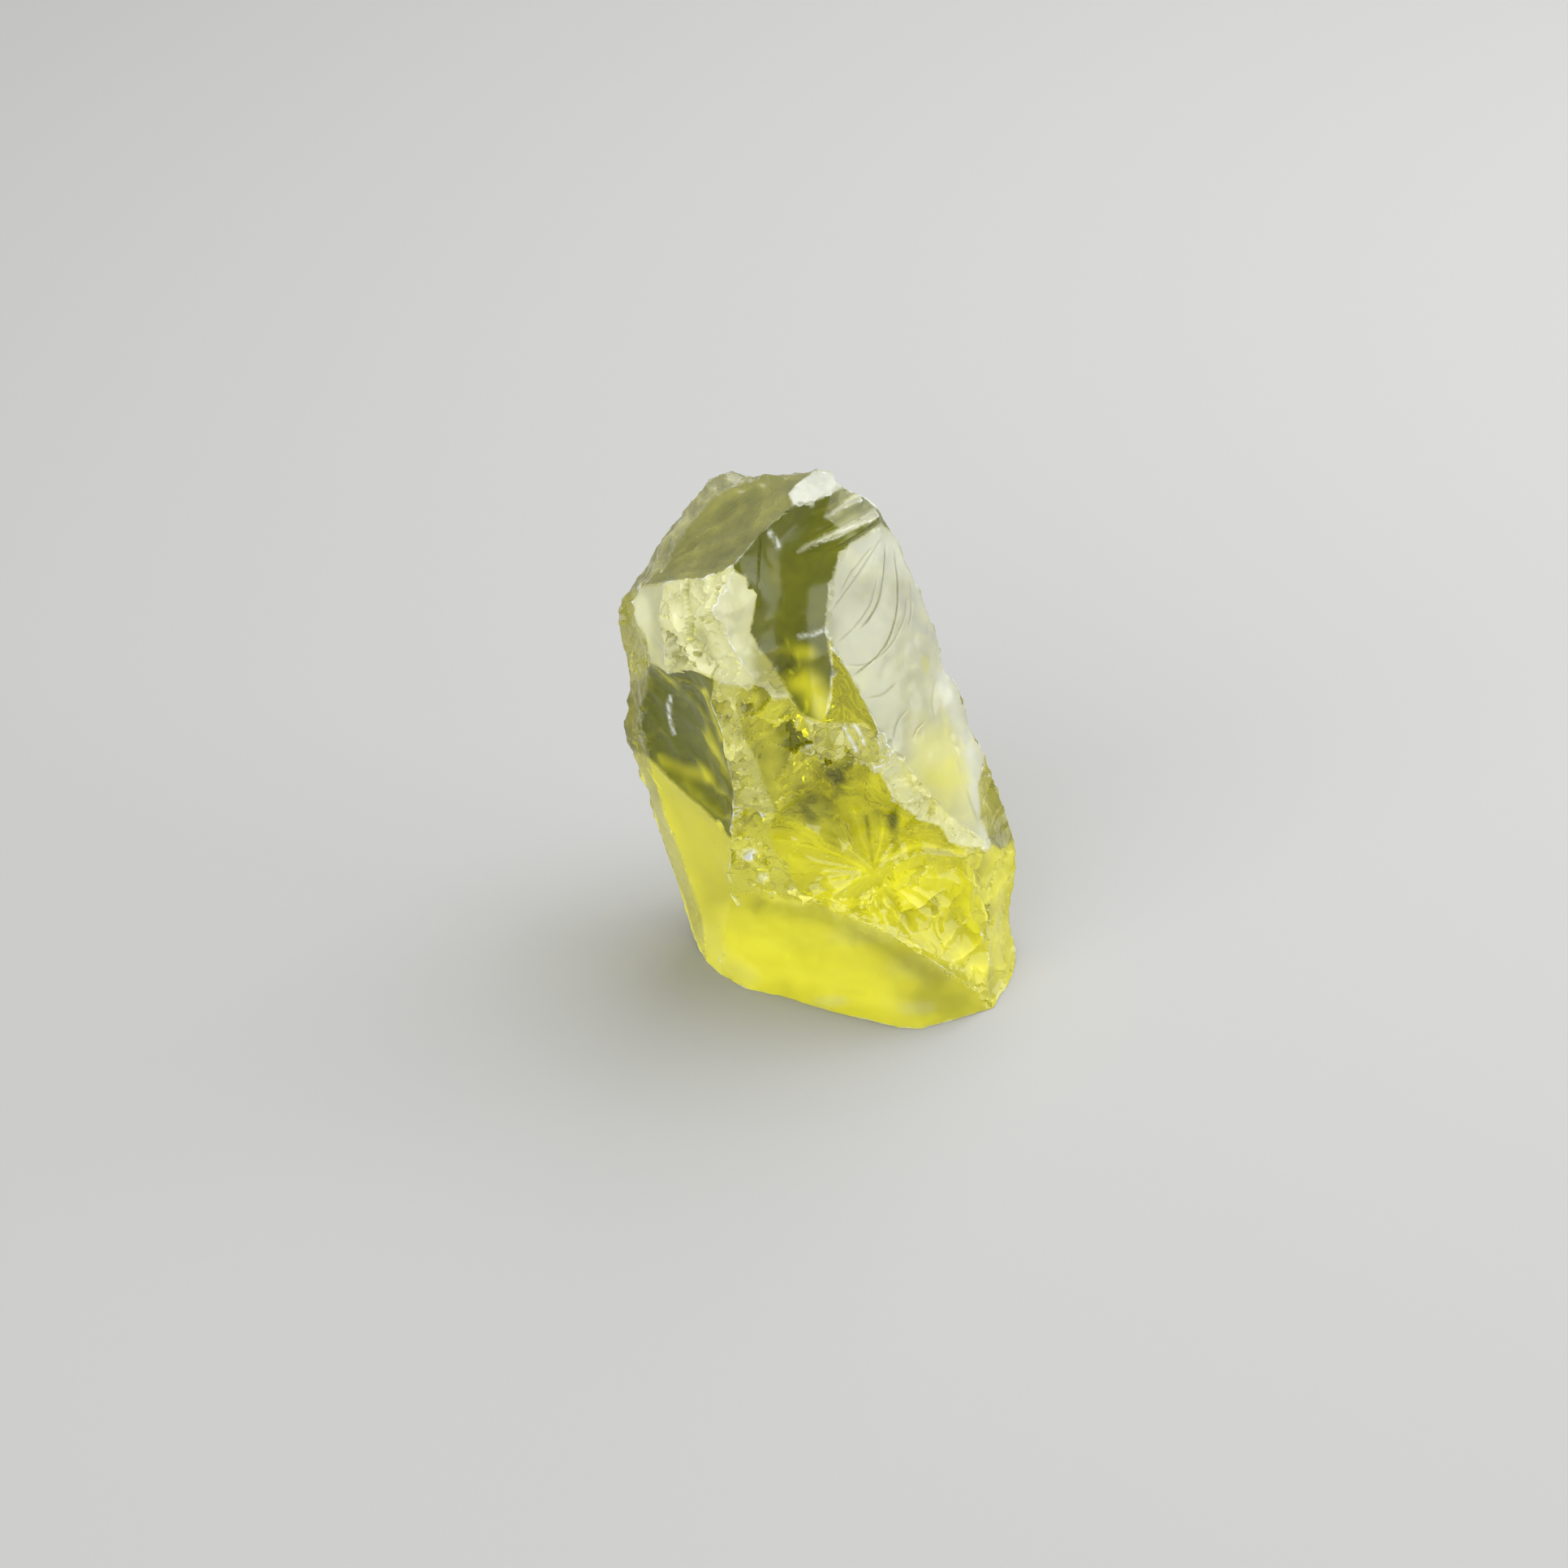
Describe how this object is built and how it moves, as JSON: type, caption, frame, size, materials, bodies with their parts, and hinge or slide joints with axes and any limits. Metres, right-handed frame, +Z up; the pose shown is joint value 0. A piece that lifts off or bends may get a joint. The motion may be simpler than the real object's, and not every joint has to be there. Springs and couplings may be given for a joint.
{
  "type": "raw prasiolite crystal",
  "caption": "Raw piece of clear yellow-green quartz with shell-like broken faces and a flat face to rest on.",
  "frame": {"origin": "centre of the bounding box at the level of the face that the stone rests on", "axes": "+Z up, along the stone's height; the side that the picture shows faces -Y; +X to the right of it"},
  "size_m": [0.0273, 0.0222, 0.036],
  "materials": {
    "prasiolite": "clear broken quartz, frosted in places"
  },
  "bodies": {
    "root": {"prasiolite": "prasiolite"}
  },
  "joints": []
}
